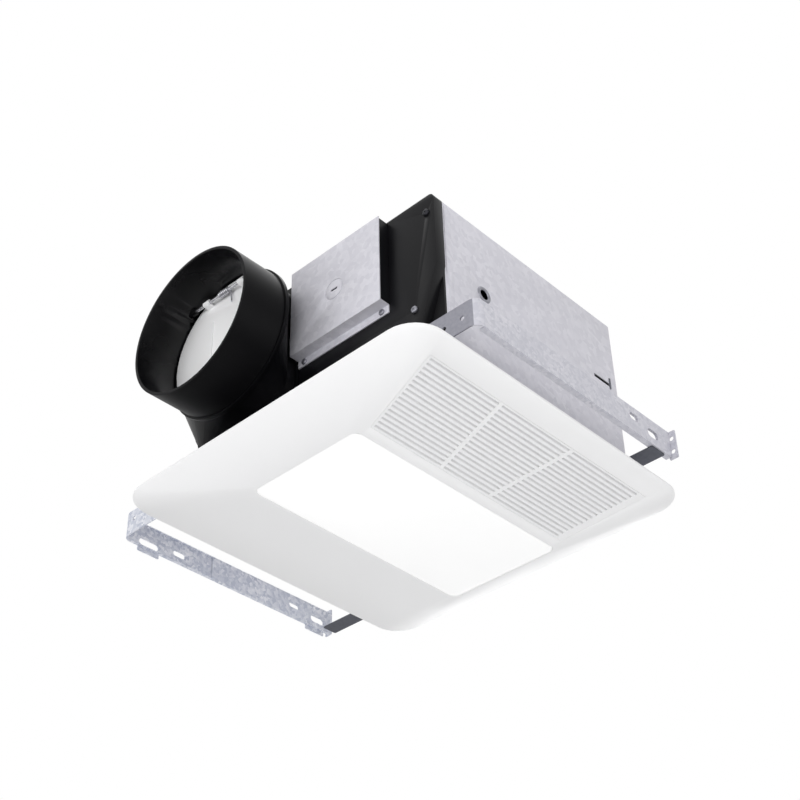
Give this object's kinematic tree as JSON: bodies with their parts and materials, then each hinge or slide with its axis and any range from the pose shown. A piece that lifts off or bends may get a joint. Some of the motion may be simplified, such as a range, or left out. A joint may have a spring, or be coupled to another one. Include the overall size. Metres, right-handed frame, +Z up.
{
  "type": "bathroom exhaust fan with speaker",
  "caption": "Ceiling exhaust fan with a lit square cover, louvred intake, round duct collar with backdraft flap, cover speakers and sliding hanger rails.",
  "frame": {"origin": "centre of the square cover in the plane of the ceiling that its rim rests against", "axes": "+X away from the duct collar, +Y away from the louvred side, +Z up into the ceiling"},
  "size_m": [0.401, 0.466, 0.227],
  "materials": {
    "galvanised_sheet": "galvanised",
    "rail_steel": "galvanised",
    "dark_bracket_steel": "dull",
    "zinc_screws": "zinc",
    "black_plastic": "moulded",
    "flap_plastic": "moulded",
    "spring_steel": "bright wire",
    "terminal_plastic": "moulded",
    "green_screw": "green",
    "wheel_plastic": "moulded",
    "dark_plastic": "moulded",
    "motor_steel": "plated",
    "soft_rubber": "soft",
    "white_case": "moulded",
    "cover_white": "satin",
    "lens_opal": "opal",
    "tray_white": "white enamel",
    "board_white": "solder mask",
    "led_phosphor": "phosphor",
    "magnet_grey": "sintered",
    "cone_paper": "paper"
  },
  "bodies": {
    "fan_housing": {"housing": "galvanised_sheet", "side_moulding": "black_plastic", "moulding_screws": "zinc_screws", "duct_adapter": "black_plastic", "adapter_screws": "zinc_screws", "damper_pin": "spring_steel", "wiring_box": "black_plastic", "wiring_box_cover": "galvanised_sheet", "wiring_cover_screws": "zinc_screws", "terminal_block": "terminal_plastic", "ground_screw": "green_screw", "motor_plate": "galvanised_sheet", "plate_screws": "zinc_screws", "inlet_ring": "dark_plastic", "blower_scroll": "dark_plastic", "motor": "motor_steel", "motor_spider": "galvanised_sheet", "rubber_mounts": "soft_rubber", "motor_screws": "zinc_screws", "capacitor": "white_case", "capacitor_strap": "galvanised_sheet", "blower_plug": "black_plastic", "blower_socket": "terminal_plastic", "spring_brackets": "galvanised_sheet", "near_rail": "rail_steel", "far_rail": "rail_steel", "rail_brackets": "dark_bracket_steel", "rail_screws": "zinc_screws"},
    "blower_wheel_body": {"blower_wheel": "wheel_plastic", "wheel_blades": "wheel_plastic", "wheel_rim": "wheel_plastic", "motor_shaft": "spring_steel", "shaft_clip": "spring_steel"},
    "flap": {"damper_flap": "flap_plastic", "damper_spring": "spring_steel"},
    "lit_cover": {"cover": "cover_white", "vent_grille": "cover_white", "lens": "lens_opal", "led_tray": "tray_white", "led_board": "board_white", "led_chips": "led_phosphor", "led_driver": "white_case", "tray_screws": "zinc_screws", "speaker_brackets": "tray_white", "speaker_frames": "dark_plastic", "speaker_surrounds": "soft_rubber", "speaker_magnets": "magnet_grey", "speaker_screws": "zinc_screws", "speaker_board": "dark_plastic", "torsion_springs": "spring_steel", "spring_clips": "galvanised_sheet"},
    "left_cone": {"left_speaker_cone": "cone_paper"},
    "right_cone": {"right_speaker_cone": "cone_paper"},
    "near_slide_body": {"near_slide": "rail_steel"},
    "far_slide_body": {"far_slide": "rail_steel"}
  },
  "joints": [
    {"name": "wheel_spin", "type": "hinge", "parent": "fan_housing", "child": "blower_wheel_body", "pos_m": [0.012, -0.005, 0.12], "axis": [0, 0, 1], "continuous": true},
    {"name": "flap_swing", "type": "hinge", "parent": "fan_housing", "child": "flap", "pos_m": [-0.177, 0.062, 0.178], "axis": [0, 1, 0], "range_deg": [0, 45], "stiffness_Nm_per_rad": 0.02, "springref_deg": -11.46},
    {"name": "cover_drop", "type": "slide", "parent": "fan_housing", "child": "lit_cover", "axis": [0, 0, -1], "range_m": [0, 0.045], "stiffness_N_per_m": 300, "springref_m": -0.12},
    {"name": "left_cone_throw", "type": "slide", "parent": "lit_cover", "child": "left_cone", "axis": [0, 0, 1], "range_m": [-0.001, 0.001], "stiffness_N_per_m": 600},
    {"name": "right_cone_throw", "type": "slide", "parent": "lit_cover", "child": "right_cone", "axis": [0, 0, 1], "range_m": [-0.001, 0.001], "stiffness_N_per_m": 600},
    {"name": "near_rail_slide", "type": "slide", "parent": "fan_housing", "child": "near_slide_body", "axis": [1, 0, 0], "range_m": [0, 0.1]},
    {"name": "far_rail_slide", "type": "slide", "parent": "fan_housing", "child": "far_slide_body", "axis": [1, 0, 0], "range_m": [0, 0.1]}
  ]
}
